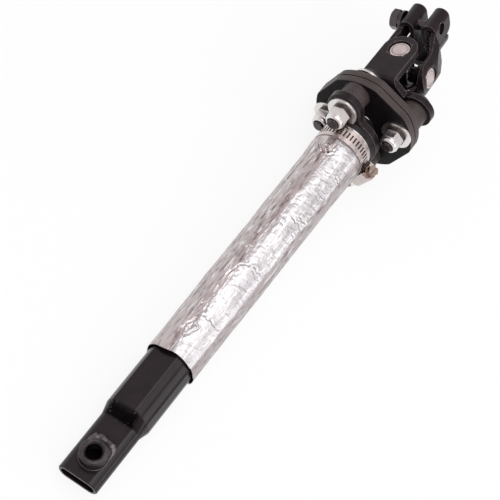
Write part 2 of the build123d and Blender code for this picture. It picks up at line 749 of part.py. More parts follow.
def clamp_screw():
    """The hose clamp's worm screw with its slotted hexagon head."""
    half = screw_thread_length / 2
    head_low = -housing_length / 2 - screw_collar_length
    screw = cylinder(screw_diameter / 2, head_low, half)
    screw += cylinder(screw_collar_diameter / 2, head_low, head_low + screw_collar_length - clamp_clearance)
    head = mirror(hexagon(screw_head_across_flats, 0, screw_head_length), about=Plane.XY)
    slot = Box(screw_slot_width, 2 * screw_head_across_flats, 2 * screw_slot_depth)
    slot = Pos(0, 0, -screw_head_length) * slot
    return along_screw(screw + Pos(0, 0, head_low) * (head - slot))


def lean(solid):
    """Bend the universal joint, as it lies, about the fork's pivot."""
    return Pos(0, 0, joint_place) * Rot(0, -yoke_lean, 0) * Pos(0, 0, -joint_place) * solid


def nod(solid):
    """Bend it about the upper yoke's own pivot too."""
    return lean(Pos(0, 0, joint_place) * Rot(-yoke_nod, 0, 0) * Pos(0, 0, -joint_place) * solid)


write("lower_tube", lower_tube())
write("weld_collar", weld_collar())
write("slide_bush", slide_bush())
write("inner_shaft", inner_shaft())
write("flange_yoke", flange_yoke())
write("coupling_disc", coupling_disc())
write("disc_sleeves", *disc_sleeves())
flange_washer_seat = flange_face - washer_thickness
fork_washer_seat = disc_start - washer_thickness
flange_nut_seat = flange_washer_seat - lock_washer_thickness
fork_nut_seat = fork_washer_seat - lock_washer_thickness
write("flange_bolts", *at_flange_ears(disc_bolt(disc_end + washer_thickness, flange_nut_seat)))
write("flange_washers", *at_flange_ears(washer(flange_washer_seat)), *at_flange_ears(washer(disc_end)))
write("flange_lock_washers", *at_flange_ears(lock_washer(flange_nut_seat)))
write("flange_nuts", *at_flange_ears(lock_nut(flange_nut_seat)))
write("fork_bolts", *at_fork_ears(disc_bolt(fork_floor, fork_nut_seat)))
write("fork_washers", *at_fork_ears(washer(fork_washer_seat)))
write("fork_lock_washers", *at_fork_ears(lock_washer(fork_nut_seat)))
write("fork_nuts", *at_fork_ears(lock_nut(fork_nut_seat)))
write(
    "nut_inserts",
    *at_flange_ears(nut_insert(flange_nut_seat)),
    *at_fork_ears(nut_insert(fork_nut_seat)),
)
write("fork_yoke", fork_yoke())
write("fork_caps", *on_trunnions(Axis.Y, bearing_cap()))
write("fork_rollers", *[one for roller in needle_rollers() for one in on_trunnions(Axis.Y, roller)])
write("fork_seals", *on_trunnions(Axis.Y, cap_seal()))
write("cross", lean(cross()))
write("yoke_caps", *[nod(cap) for cap in on_trunnions(Axis.X, bearing_cap())])
write("yoke_rollers", *[nod(one) for roller in needle_rollers() for one in on_trunnions(Axis.X, roller)])
write("yoke_seals", *[nod(seal) for seal in on_trunnions(Axis.X, cap_seal())])
write("upper_yoke", nod(upper_yoke()))
write("pinch_bolt", nod(pinch_bolt()))
write("pinch_washers", *[nod(item) for item in pinch_washers()])
write("heat_shield", heat_shield())
write("clamp_band", *clamp_band())
write("clamp_housing", clamp_housing())
write("clamp_screw", clamp_screw())
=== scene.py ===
import math

import bpy
from mathutils import Matrix, Vector, noise


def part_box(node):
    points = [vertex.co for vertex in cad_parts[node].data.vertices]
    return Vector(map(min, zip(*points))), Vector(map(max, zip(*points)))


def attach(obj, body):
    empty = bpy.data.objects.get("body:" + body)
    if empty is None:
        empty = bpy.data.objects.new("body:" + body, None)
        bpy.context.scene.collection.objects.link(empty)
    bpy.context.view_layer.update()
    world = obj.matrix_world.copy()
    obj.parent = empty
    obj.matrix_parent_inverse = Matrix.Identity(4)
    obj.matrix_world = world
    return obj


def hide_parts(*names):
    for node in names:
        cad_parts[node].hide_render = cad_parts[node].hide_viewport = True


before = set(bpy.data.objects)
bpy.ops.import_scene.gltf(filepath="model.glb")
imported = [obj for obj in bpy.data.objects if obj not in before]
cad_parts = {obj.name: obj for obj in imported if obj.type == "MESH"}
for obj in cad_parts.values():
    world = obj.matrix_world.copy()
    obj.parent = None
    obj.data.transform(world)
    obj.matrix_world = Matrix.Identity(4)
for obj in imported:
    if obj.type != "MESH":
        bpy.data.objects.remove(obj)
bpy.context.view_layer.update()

MM = 0.001

# Camera, fitted to the photograph: image width and focal length in pixels, and sensor in mm
IMAGE_WIDTH = 500
FOCAL_LENGTH = 1546.8
SENSOR_WIDTH = 36.0
# Its place in metres, and the turn and tilt of the view and its own roll in radians
CAMERA_PLACE = Vector((-0.28936, 0.15962, 0.84165))
VIEW_TURN = 0.51682
VIEW_TILT = -0.15762
CAMERA_ROLL = -0.67740

# Sizes that the extra pieces and the materials share with the CAD model, in metres
SHAFT = Vector((1, 0, 0))
SHIELD_LOW, SHIELD_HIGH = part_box("heat_shield")
SLEEVE_START = SHIELD_LOW.x
SLEEVE_END = SHIELD_HIGH.x
SLEEVE_LOW_RADIUS = 16.95 * MM
SLEEVE_HIGH_RADIUS = 18.1 * MM
SLEEVE_LEAST_RADIUS = 16.0 * MM
BAND_LOW, BAND_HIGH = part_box("clamp_band")
BAND_MARGIN = 0.4 * MM
JOINT_PLACE = Vector((0.376, 0, 0))
YOKE_LEAN = math.radians(3.5)
FORK_PIVOT = Vector((0, 1, 1)).normalized()
YOKE_PIVOT = Vector((
    math.sin(YOKE_LEAN),
    -math.cos(YOKE_LEAN) * FORK_PIVOT.y,
    math.cos(YOKE_LEAN) * FORK_PIVOT.z,
))
CAP_RADIUS = 7.8 * MM
COLLAR_PLACE = Vector((15.5 * MM, 0, 0))
COLLAR_AXIS = Vector((0, 0.4067366, 0.9135455))
COLLAR_ACROSS = COLLAR_AXIS.cross(SHAFT).normalized()
COLLAR_RADIUS = 8.8 * MM
COLLAR_SEAT = 6.0 * MM
THREAD_PITCH = 1.5 * MM
# The drawn-in shoulder above the socket: its stations and their blur, and the span of its mask,
# which paints shade and glints into the paint's colour
SHOULDER = (42.5 * MM, 48.5 * MM, 1.5 * MM)
POCKET_SPAN = 40 * MM

WHITE = (1.0, 1.0, 1.0)


def link(obj):
    """Put a new object in the scene."""
    bpy.context.scene.collection.objects.link(obj)
    return obj


def new_object(name, vertices, faces, material, smooth=True):
    """A mesh object from plain lists, with one material."""
    mesh = bpy.data.meshes.new(name)
    mesh.from_pydata(vertices, [], faces)
    mesh.polygons.foreach_set("use_smooth", [smooth] * len(mesh.polygons))
    mesh.materials.append(material)
    mesh.update()
    return link(bpy.data.objects.new(name, mesh))


def smooth_step(value, low, high):
    """0 below low, 1 above high and a smooth ramp between them."""
    share = min(1.0, max(0.0, (value - low) / (high - low)))
    return share * share * (3 - 2 * share)


def turn_from(start, angle):
    """The turn from one angle to another, between minus and plus half a turn."""
    return (angle - start + math.pi) % (2 * math.pi) - math.pi


def scaled(colour, factor):
    """A colour times a factor."""
    return tuple(factor * part for part in colour)


# Materials

class NodeTree:
    """Short ways to add nodes. Inputs are sockets, numbers or colours of three parts."""

    BEVEL_SAMPLES = 4

    def __init__(self, tree):
        self.nodes = tree.nodes
        self.links = tree.links

    def add(self, kind, **settings):
        """A new node with its settings."""
        node = self.nodes.new("ShaderNode" + kind)
        for name, value in settings.items():
            setattr(node, name, value)
        return node

    def feed(self, socket, value):
        """Wire a socket to another one or set its value."""
        if isinstance(value, bpy.types.NodeSocket):
            self.links.new(value, socket)
        elif socket.type == "RGBA":
            socket.default_value = (*value, 1)
        else:
            socket.default_value = value

    def ramp(self, source, *stops):
        """Greys or colours at places from 0 to 1, blended between them."""
        node = self.add("ValToRGB")
        elements = node.color_ramp.elements
        while len(elements) < len(stops):
            elements.new(0.5)
        for element, (place, colour) in zip(elements, stops):
            element.position = place
            colour = colour if isinstance(colour, tuple) else scaled(WHITE, colour)
            element.color = (*colour, 1)
        self.feed(node.inputs["Fac"], source)
        return node.outputs["Color"]

    def mix(self, share, first, second, blend="MIX"):
        """The first colour, with a share of the second blended in."""
        node = self.add("Mix", data_type="RGBA", blend_type=blend)
        self.feed(node.inputs["Factor"], share)
        self.feed(node.inputs["A"], first)
        self.feed(node.inputs["B"], second)
        return node.outputs["Result"]

    def compute(self, operation, *values, clamp=True):
        """The result of a sum on numbers, kept between 0 and 1 unless clamp is off."""
        node = self.add("Math", operation=operation, use_clamp=clamp)
        for socket, value in zip(node.inputs, values):
            self.feed(socket, value)
        return node.outputs["Value"]

    def vector(self, operation, output, *values):
        """One output of a sum on vectors."""
        node = self.add("VectorMath", operation=operation)
        for socket, value in zip(node.inputs, values):
            self.feed(socket, value)
        return node.outputs[output]

    def along(self, vector, axis):
        """The part of a vector that lies along an axis, times the axis' length."""
        return self.vector("DOT_PRODUCT", "Value", vector, axis)

    def rounded_normal(self, radius):
        """The surface's normal as if its edges were rounded."""
        bevel = self.add("Bevel", samples=self.BEVEL_SAMPLES)
        self.feed(bevel.inputs["Radius"], radius)
        return bevel.outputs["Normal"]


class Shader(NodeTree):
    """A material and the patterns that the surfaces share."""

    def __init__(self, name, **values):
        self.material = bpy.data.materials.new(name)
        self.material.use_nodes = True
        super().__init__(self.material.node_tree)
        self.surface = self.nodes["Principled BSDF"]
        self.place = self.add("TexCoord").outputs["Object"]
        for input_name, value in values.items():
            self.drive(input_name.replace("_", " "), value)

    def drive(self, name, value):
        """Wire or set an input of the surface."""
        self.feed(self.surface.inputs[name], value)

    def mapped(self, scale):
        """The place on the object, scaled along each axis."""
        node = self.add("Mapping")
        self.feed(node.inputs["Scale"], scale)
        self.feed(node.inputs["Vector"], self.place)
        return node.outputs["Vector"]

    def noise(self, scale, detail=4.0, roughness=0.55, stretch=None):
        """Cloudy noise, scaled in waves a metre and drawn out where stretch has a small number."""
        node = self.add("TexNoise")
        self.feed(node.inputs["Scale"], scale)
        self.feed(node.inputs["Detail"], detail)
        self.feed(node.inputs["Roughness"], roughness)
        self.feed(node.inputs["Vector"], self.mapped(stretch) if stretch else self.place)
        return node.outputs["Fac"]

    def edges(self, radius, low, high):
        """1 along sharp edges and 0 on faces."""
        face = self.add("NewGeometry").outputs["Normal"]
        agreement = self.vector("DOT_PRODUCT", "Value", self.rounded_normal(radius), face)
        return self.ramp(agreement, (low, 1.0), (high, 0.0))

    def radius(self, centre, axis, scale):
        """Distance from a line, in units of scale."""
        offset = self.vector("SUBTRACT", "Vector", self.place, centre)
        cross = self.vector("CROSS_PRODUCT", "Vector", offset, axis)
        return self.compute("DIVIDE", self.vector("LENGTH", "Value", cross), scale)

    def stretch_of_shaft(self, low, high, blur):
        """1 between two stations along the shaft and 0 beyond them."""
        station = self.compute("MULTIPLY", self.along(self.place, SHAFT), 2.0)
        stops = ((2 * (low - blur), 0.0), (2 * low, 1.0), (2 * high, 1.0), (2 * (high + blur), 0.0))
        return self.ramp(station, *stops)

    def relief(self, height, strength, distance, radius=0.0):
        """Bump from a height, over edges that the shader rounds by radius."""
        bump = self.add("Bump")
        self.feed(bump.inputs["Strength"], strength)
        self.feed(bump.inputs["Distance"], distance)
        self.feed(bump.inputs["Height"], height)
        if radius:
            self.feed(bump.inputs["Normal"], self.rounded_normal(radius))
        self.drive("Normal", bump.outputs["Normal"])


def paint(name, colour, wear_and_highlight, roughness, gloss, grain, shoulder=None):
    """Black stoving enamel, lighter along the edges from wear and a painted highlight, and wrinkled
    in the shoulder's pocket, where painted shade and painted glints go into its colour.
    """
    specular, coat = gloss
    low, high = roughness
    shader = Shader(name, Specular_IOR_Level=specular, Coat_Weight=coat, Coat_Roughness=0.12)
    cloud = shader.noise(90, 5)
    speck = shader.noise(1500, 2)
    thick = shader.ramp(cloud, (0.35, 0.0), (0.70, 0.9))
    body = shader.mix(thick, colour, scaled(colour, 2.0))
    chips = shader.ramp(shader.noise(400, 3), (0.35, 0.25), (0.65, 1.0))
    edge = shader.compute("MULTIPLY", shader.edges(1.0 * MM, 0.86, 0.99), chips)
    # Along the edges the colour is lightened: wear, and a painted highlight.
    body = shader.mix(edge, body, wear_and_highlight)
    shader.drive("Roughness", shader.ramp(shader.mix(0.5, cloud, speck), (0.3, low), (0.7, high)))
    height = shader.mix(0.5, shader.noise(700, 3), shader.noise(160, 2))
    height = shader.ramp(height, (0.2, 0.5 - grain), (0.8, 0.5 + grain))
    if shoulder:
        across = shader.along(shader.place, COLLAR_ACROSS / POCKET_SPAN)
        sideways = shader.compute("ADD", across, 0.5)
        pocket = shader.ramp(sideways, (0.27, 0.0), (0.33, 1.0), (0.76, 1.0), (0.83, 0.0))
        pocket = shader.compute("MULTIPLY", shader.stretch_of_shaft(*shoulder), pocket)
        wrinkles = shader.ramp(shader.noise(300, 5, 0.65), (0.3, 0.0), (0.7, 1.0))
        height = shader.mix(pocket, height, wrinkles)
        glints = shader.ramp(shader.noise(520, 3, 0.6), (0.66, 0.0), (0.69, 1.0))
        shine = shader.mix(glints, scaled(WHITE, 0.04), scaled(WHITE, 0.9))
        shader.drive("Specular IOR Level", shader.mix(pocket, scaled(WHITE, specular), shine))
        shader.drive("Coat Weight", shader.mix(pocket, scaled(WHITE, coat), glints))
        # Painted shade: the pocket's colour is near black, with painted glints in it.
        dark = shader.mix(glints, (0.002, 0.0015, 0.0015), (0.30, 0.27, 0.27))
        body = shader.mix(pocket, body, dark)
    shader.drive("Base Color", body)
    shader.relief(height, 0.7, 0.4 * MM, 0.35 * MM)
    return shader.material


def plated(name, colour, dull, roughness, stretch=(1, 1, 1), grime=0.35, lines=0.25, bump=0.10):
    """Plated or bare steel with fine lines, dull patches and lighter rubbed edges."""
    low, high = roughness
    shader = Shader(name, Metallic=1.0)
    cloud = shader.noise(140, 5)
    grain = shader.noise(900, 4, 0.6, stretch)
    body = shader.mix(shader.ramp(cloud, (0.40, 0.0), (0.72, grime)), colour, dull)
    lined = shader.ramp(grain, (0.3, scaled(colour, 0.5)), (0.7, colour))
    body = shader.mix(lines, body, lined)
    edge = shader.compute("MULTIPLY", shader.edges(0.25 * MM, 0.80, 0.97), 0.5)
    rubbed = tuple(min(0.9, part) for part in scaled(colour, 1.25))
    shader.drive("Base Color", shader.mix(edge, body, rubbed))
    shader.drive("Roughness", shader.ramp(shader.mix(0.5, cloud, grain), (0.3, low), (0.7, high)))
    shader.relief(grain, bump, 0.12 * MM, 0.12 * MM)
    return shader.material


def cap_material(name, axis):
    """Pinkish bearing cap, turned, with a raised rim and a dark joint round it."""
    shader = Shader(name, Metallic=1.0)
    reach = shader.radius(JOINT_PLACE, axis, CAP_RADIUS)
    cloud = shader.noise(220, 5)
    steady = shader.compute("MULTIPLY", reach, 0.9)
    rings = shader.compute("ADD", steady, shader.compute("MULTIPLY", cloud, 0.1))
    tone = shader.ramp(cloud, (0.30, (0.58, 0.485, 0.475)), (0.70, (0.82, 0.715, 0.705)))
    shade = shader.ramp(rings, (0.60, 0.92), (0.70, 0.42), (0.74, 1.0), (0.86, 1.0), (0.92, 0.10))
    shader.drive("Base Color", shader.mix(1.0, tone, shade, "MULTIPLY"))
    shader.drive("Roughness", shader.ramp(cloud, (0.3, 0.28), (0.7, 0.42)))
    height = shader.ramp(rings, (0.0, 0.45), (0.62, 0.30), (0.71, 0.9), (0.83, 1.0), (0.93, 0.0))
    shader.relief(height, 0.8, 0.6 * MM)
    return shader.material


def rubber_material():
    """Moulded rubber with fine mould rings round its sides, its faces painted near black as shade
    and its round side painted lighter as if lit, with dust along its edges.
    """
    shader = Shader("moulded_rubber")
    facing = shader.add("TexCoord").outputs["Normal"]
    end_on = shader.along(facing, SHAFT)
    side = shader.compute("SUBTRACT", 1.0, shader.compute("MULTIPLY", end_on, end_on))
    cloud = shader.noise(70, 5)
    rings = shader.noise(1, 3, 0.5, (2600, 60, 60))
    face = shader.ramp(cloud, (0.30, (0.004, 0.003, 0.004)), (0.80, (0.012, 0.009, 0.010)))
    ringed = shader.ramp(rings, (0.33, (0.016, 0.011, 0.011)), (0.62, (0.082, 0.060, 0.059)))
    lit_side_tone = shader.ramp(cloud, (0.30, (0.020, 0.014, 0.015)), (0.80, (0.085, 0.062, 0.061)))
    lit_round_side = shader.mix(0.4, ringed, lit_side_tone)
    dust = shader.compute("MULTIPLY", shader.edges(0.8 * MM, 0.75, 0.97), 0.45)
    # Painted shade on the faces and painted light on the round side, over the mould rings.
    body = shader.mix(shader.ramp(side, (0.35, 0.0), (0.85, 1.0)), face, lit_round_side)
    shader.drive("Base Color", shader.mix(dust, body, (0.12, 0.10, 0.098)))
    shader.drive("Specular IOR Level", shader.ramp(side, (0.35, 0.12), (0.85, 0.38)))
    shader.drive("Roughness", shader.ramp(rings, (0.3, 0.36), (0.7, 0.55)))
    shader.relief(shader.mix(0.35, rings, cloud), 0.30, 0.25 * MM, 0.5 * MM)
    return shader.material


def foil_material():
    """Aluminium foil, rubbed lengthwise in streaks, pinker on its flanks, with painted glints,
    painted shade on both flanks and painted shade under the hose clamp.
    """
    shader = Shader("crumpled_foil", Metallic=1.0)
    cloud = shader.noise(60, 6)
    streak = shader.noise(460, 5, 0.65, (0.22, 1, 1))
    across = shader.along(shader.place, (0, 0.5 / SLEEVE_HIGH_RADIUS, 0))
    turned = shader.compute("ADD", across, 0.5)
    flank = shader.ramp(turned, (0.22, 1.0), (0.27, 0.0), (0.68, 0.0), (0.75, 1.0))
    clean = shader.ramp(cloud, (0.30, (0.57, 0.562, 0.575)), (0.62, (0.66, 0.655, 0.668)))
    pinker_flanks = shader.ramp(cloud, (0.30, (0.57, 0.505, 0.509)), (0.62, (0.67, 0.608, 0.612)))
    body = shader.mix(flank, clean, pinker_flanks)
    rubbed = shader.ramp(streak, (0.50, 0.0), (0.66, 0.85))
    share = shader.compute("ADD", shader.compute("MULTIPLY", flank, 0.7), 0.3)
    body = shader.mix(shader.compute("MULTIPLY", rubbed, share), body, (0.19, 0.148, 0.151))
    # Painted glints: near white spots in the colour.
    painted_glints = shader.ramp(shader.noise(520, 2, 0.5, (0.16, 1, 1)), (0.60, 0.0), (0.65, 1.0))
    body = shader.mix(painted_glints, body, (0.90, 0.88, 0.885))
    # Painted shade on both flanks, more on the -Y one.
    shade = shader.ramp(turned, (0.20, 0.80), (0.27, 1.0), (0.80, 1.0), (0.90, 0.90))
    body = shader.mix(1.0, body, shade, "MULTIPLY")
    # Painted shade: the foil's colour is darkened under the hose clamp.
    under = shader.stretch_of_shaft(BAND_LOW.x + BAND_MARGIN, BAND_HIGH.x - BAND_MARGIN, 0.2 * MM)
    shader.drive("Base Color", shader.mix(under, body, (0.10, 0.074, 0.064)))
    shader.drive("Roughness", shader.ramp(shader.mix(0.5, cloud, streak), (0.3, 0.26), (0.7, 0.42)))
    crackle = shader.add("TexVoronoi", feature="DISTANCE_TO_EDGE")
    shader.feed(crackle.inputs["Scale"], 300)
    shader.feed(crackle.inputs["Vector"], shader.mapped((1.5, 0.8, 0.8)))
    creases = shader.ramp(crackle.outputs["Distance"], (0.0, 0.0), (0.10, 1.0))
    height = shader.mix(0.35, shader.mix(0.5, streak, shader.noise(1100, 4)), creases)
    shader.relief(height, 0.34, 0.35 * MM)
    return shader.material


def nylon_material():
    """Dark nylon of the lock nuts' rings and the slide bush."""
    shader = Shader("dark_nylon")
    cloud = shader.noise(300, 3)
    tone = shader.ramp(cloud, (0.3, (0.012, 0.012, 0.016)), (0.7, (0.030, 0.030, 0.038)))
    shader.drive("Base Color", tone)
    shader.drive("Roughness", shader.ramp(shader.noise(800, 2), (0.3, 0.35), (0.7, 0.5)))
    shader.relief(shader.noise(1200, 2), 0.1, 0.1 * MM)
    return shader.material


def collar_material():
    """Scale-dark steel of the welded collar, painted near black as shade in its hole, with the
    turns of the thread there.
    """
    shader = Shader("bare_collar_steel", Metallic=0.85)
    cloud = shader.noise(260, 6)
    reach = shader.radius(COLLAR_PLACE, COLLAR_AXIS, COLLAR_RADIUS)
    body = shader.ramp(
        cloud,
        (0.30, (0.030, 0.026, 0.028)),
        (0.60, (0.068, 0.060, 0.063)),
        (0.80, (0.13, 0.115, 0.118)),
    )
    # Painted shade: inside the hole the colour is near black.
    outside_hole_shade = shader.ramp(reach, (0.52, 0.0), (0.68, 1.0))
    shader.drive("Base Color", shader.mix(outside_hole_shade, (0.006, 0.005, 0.005), body))
    shader.drive("Roughness", shader.ramp(cloud, (0.3, 0.30), (0.7, 0.50)))
    rise = shader.along(shader.place, COLLAR_AXIS)
    phase = shader.compute("MULTIPLY", rise, 2 * math.pi / THREAD_PITCH, clamp=False)
    turns = shader.compute("SINE", phase, clamp=False)
    thread = shader.mix(outside_hole_shade, turns, shader.noise(900, 4))
    shader.relief(thread, 0.3, 0.3 * MM, 0.3 * MM)
    return shader.material


TUBE_PAINT = paint(
    "tube_paint",
    colour=(0.0075, 0.0045, 0.0058),
    wear_and_highlight=(0.06, 0.050, 0.055),
    roughness=(0.16, 0.24),
    gloss=(0.28, 0.10),
    grain=0.012,
    shoulder=SHOULDER,
)
YOKE_PAINT = paint(
    "yoke_paint",
    colour=(0.0095, 0.0056, 0.0068),
    wear_and_highlight=(0.22, 0.185, 0.19),
    roughness=(0.24, 0.44),
    gloss=(0.22, 0.05),
    grain=0.08,
)
DARK_STEEL = plated(
    "black_oxide_steel",
    colour=(0.105, 0.092, 0.096),
    dull=(0.025, 0.021, 0.022),
    roughness=(0.20, 0.34),
)
SPRING_STEEL = plated(
    "spring_steel",
    colour=(0.10, 0.080, 0.075),
    dull=(0.03, 0.022, 0.020),
    roughness=(0.30, 0.45),
)
ZINC = plated(
    "zinc_plate",
    colour=(0.80, 0.78, 0.77),
    dull=(0.56, 0.52, 0.50),
    roughness=(0.24, 0.34),
    grime=0.12,
    lines=0.05,
    bump=0.02,
)
BRIGHT = plated(
    "bright_steel",
    colour=(0.68, 0.575, 0.56),
    dull=(0.50, 0.42, 0.40),
    roughness=(0.26, 0.38),
)
BAND_STEEL = plated(
    "band_steel",
    colour=(0.60, 0.535, 0.515),
    dull=(0.42, 0.34, 0.31),
    roughness=(0.20, 0.30),
    stretch=(1, 0.3, 0.3),
    grime=0.25,
    lines=0.12,
    bump=0.05,
)
BRASSY = plated(
    "screw_steel",
    colour=(0.37, 0.295, 0.25),
    dull=(0.17, 0.115, 0.09),
    roughness=(0.22, 0.34),
    bump=0.05,
)
FORK_CAP = cap_material("fork_cap_steel", FORK_PIVOT)
YOKE_CAP = cap_material("yoke_cap_steel", YOKE_PIVOT)
RUBBER = rubber_material()
FOIL = foil_material()
NYLON = nylon_material()
BARE = collar_material()
WELD = plated(
    "weld_metal",
    colour=(0.15, 0.128, 0.133),
    dull=(0.035, 0.029, 0.031),
    roughness=(0.30, 0.46),
    grime=0.85,
    bump=0.6,
)

NODE_MATERIALS = {
    "lower_tube": TUBE_PAINT,
    "weld_collar": BARE,
    "slide_bush": NYLON,
    "inner_shaft": BRIGHT,
    "flange_yoke": YOKE_PAINT,
    "coupling_disc": RUBBER,
    "disc_sleeves": ZINC,
    "flange_bolts": DARK_STEEL,
    "flange_washers": ZINC,
    "flange_lock_washers": SPRING_STEEL,
    "flange_nuts": ZINC,
    "fork_bolts": DARK_STEEL,
    "fork_washers": ZINC,
    "fork_lock_washers": SPRING_STEEL,
    "fork_nuts": ZINC,
    "nut_inserts": NYLON,
    "fork_yoke": YOKE_PAINT,
    "fork_caps": FORK_CAP,
    "fork_rollers": BRIGHT,
    "fork_seals": RUBBER,
    "cross": DARK_STEEL,
    "yoke_caps": YOKE_CAP,
    "yoke_rollers": BRIGHT,
    "yoke_seals": RUBBER,
    "upper_yoke": YOKE_PAINT,
    "pinch_bolt": DARK_STEEL,
    "pinch_washers": DARK_STEEL,
    "clamp_band": BAND_STEEL,
    "clamp_housing": BAND_STEEL,
    "clamp_screw": BRASSY,
}


def dress_nodes():
    """Give every CAD node its material."""
    for name, material in NODE_MATERIALS.items():
        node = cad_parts[name]
        if not node.material_slots:
            node.data.materials.append(material)
        for place in node.material_slots:
            place.material = material


# Foil sleeve

SLEEVE_AROUND = 270
SLEEVE_ALONG = 340
HEM_ROWS = 6
HEM_PITCH = 1.2 * MM
FOIL_WALL = 0.30 * MM
RAGGED_EDGE = 1.1 * MM
RAGGED_REACH = 12 * MM
RAGGED_AROUND = 2.2
# Angles here and below are from straight up towards +Y
SEAM_ANGLE = math.radians(-33)
SEAM_STEP = 0.35 * MM
SEAM_EDGE = 0.02
SEAM_LAP = 1.2
# Swelling below the hose clamp, with the stations of its rise and its fall
BULGE = 0.5 * MM
BULGE_RISE = (0.270, 0.281)
BULGE_FALL = (0.284, 0.288)
BAND_RUN_IN = 1.5 * MM

# Broad facets and folds. Long folds are higher on the +Y side and cross folds on the other.
FACETS_ALONG = 45
FACETS_AROUND = 1.6
FACET_HEIGHT = 0.34 * MM
LONG_FOLD_HEIGHT = 0.20 * MM
CROSS_FOLD_HEIGHT = 0.12 * MM
FOLD_SLANT = 7 * MM
FOLD_SIDE = math.radians(16)
FOLD_SIDE_BLUR = 0.30

# Folds: share of the height, scale of the noise along the shaft and round it, and place in it
LONG_FOLDS = (
    (1.0, 38, 8.0, (0, 0)),
    (0.6, 70, 17.0, (3, 0)),
    (0.4, 150, 34.0, (9, 0)),
)
SLANTED_FOLDS = (
    (1.0, 260, 2.6, (7, 2)),
    (0.7, 520, 5.5, (1, 5)),
)
COUNTER_FOLDS = ((0.45, 800, 12.0, (4, 8)),)
CRUMPLES = (
    (1.0, 330, 8.0, (0, 0)),
    (0.5, 640, 15.0, (2, 0)),
)
CRUMPLE_HEIGHT = 0.60 * MM

# Share of a dent's size up to which it has its full depth
DENT_FLOOR = 0.15
# Dents: station along the shaft in metres, angle in degrees, size and depth in mm
DENTS = (
    (0.2745, 32, 5.5, 1.2),
    (0.2740, 52, 4.5, 0.9),
    (0.2700, 42, 4.0, 0.6),
    (0.1125, 27, 6.5, 0.8),
    (0.1300, 33, 6.0, 0.5),
    (0.1690, 20, 5.0, 0.5),
    (0.1600, 36, 5.0, 0.4),
)

# Sharp creases: station and angle of both ends, as above, and the depth in mm
CREASES = (
    (0.2778, 60, 0.2738, 48, 1.10),
    (0.2738, 48, 0.2772, 40, 0.90),
    (0.2772, 40, 0.2734, 30, 1.15),
    (0.2734, 30, 0.2766, 20, 0.80),
    (0.2738, 48, 0.2734, 30, 0.70),
    (0.1665, 27, 0.1708, 11, 0.75),
    (0.1722, 0, 0.1715, -20, 0.65),
    (0.1665, 27, 0.1560, 38, 0.50),
    (0.1767, 65, 0.1823, 29, 0.45),
    (0.1199, 27, 0.1142, 36, 0.80),
    (0.1142, 36, 0.1100, 38, 0.60),
    (0.1100, 38, 0.1062, 25, 0.70),
    (0.1150, 12, 0.1062, 25, 0.50),
    (0.1199, 27, 0.1150, 12, 0.45),
    (0.1248, 20, 0.1240, -26, 0.30),
    (0.2216, -9, 0.2212, -28, 0.50),
    (0.2170, 2, 0.2165, -27, 0.30),
    (0.2085, -20, 0.2083, -30, 0.35),
    (0.2621, -17, 0.2617, -33, 0.45),
    (0.1470, 34, 0.1400, 28, 0.45),
)
CREASE_WIDTH = 0.75 * MM
CREASE_REACH = 4 * CREASE_WIDTH
CREASE_LIP = 0.45
CREASE_LIP_PLACE = 1.6
# How far a crease wavers, and the scale of the noise along it
CREASE_WAVES = ((2.4 * MM, 260), (0.7 * MM, 800))


def circle(angle):
    """A place on the unit circle, where noise closes without a step."""
    return Vector((0, math.cos(angle), math.sin(angle)))


def folds(rows, x, angle):
    """Sharp-edged folds between flat facets, summed over the rows of a table."""
    height = 0.0
    for share, along, around, (first, second) in rows:
        point = Vector((x * along, first, second)) + circle(angle) * around
        height += share * (1 - 2 * abs(noise.noise(point)))
    return height


def sleeve_height(x, angle):
    """How far the foil stands out of its plain outline."""
    facets = noise.noise(Vector((x * FACETS_ALONG, 0, 0)) + circle(angle) * FACETS_AROUND)
    slant = FOLD_SLANT * math.sin(angle)
    cross_folds = folds(SLANTED_FOLDS, x + slant, angle) + folds(COUNTER_FOLDS, x - slant, angle)
    side = smooth_step(math.sin(angle - FOLD_SIDE), 0.0, FOLD_SIDE_BLUR)
    height = FACET_HEIGHT * facets
    height += LONG_FOLD_HEIGHT * (0.3 + 0.7 * side) * folds(LONG_FOLDS, x, angle)
    return height + CROSS_FOLD_HEIGHT * (1.1 - side) * cross_folds


def dent(x, angle, radius, place, degrees, size, depth):
    """What a dent adds to the radius, crumpled within it."""
    size *= MM
    gap = math.hypot(x - place, radius * turn_from(math.radians(degrees), angle))
    if gap >= size:
        return 0.0
    share = 1 - smooth_step(gap, DENT_FLOOR * size, size)
    return share * (CRUMPLE_HEIGHT * folds(CRUMPLES, x, angle) - depth * MM)


def crease(x, angle, radius, low, low_degrees, high, high_degrees, depth):
    """What a crease adds to the radius: a wavering groove with raised lips."""
    if abs(x - (low + high) / 2) > abs(high - low) / 2 + CREASE_REACH:
        return 0.0
    low_turn, high_turn = math.radians(low_degrees), math.radians(high_degrees)
    along, across = high - low, radius * (high_turn - low_turn)
    place, side = x - low, radius * turn_from(low_turn, angle)
    share = (place * along + side * across) / (along * along + across * across)
    share = min(1.0, max(0.0, share))
    near_place, near_side = share * along, share * across
    wave = 0.0
    for size, scale in CREASE_WAVES:
        wave += size * noise.noise(Vector((scale * near_place, scale * near_side, 4)))
    gap = math.hypot(place - near_place + wave, side - near_side) / CREASE_WIDTH
    lips = CREASE_LIP * math.exp(-((gap - CREASE_LIP_PLACE) ** 2))
    return depth * MM * (lips - math.exp(-gap * gap))


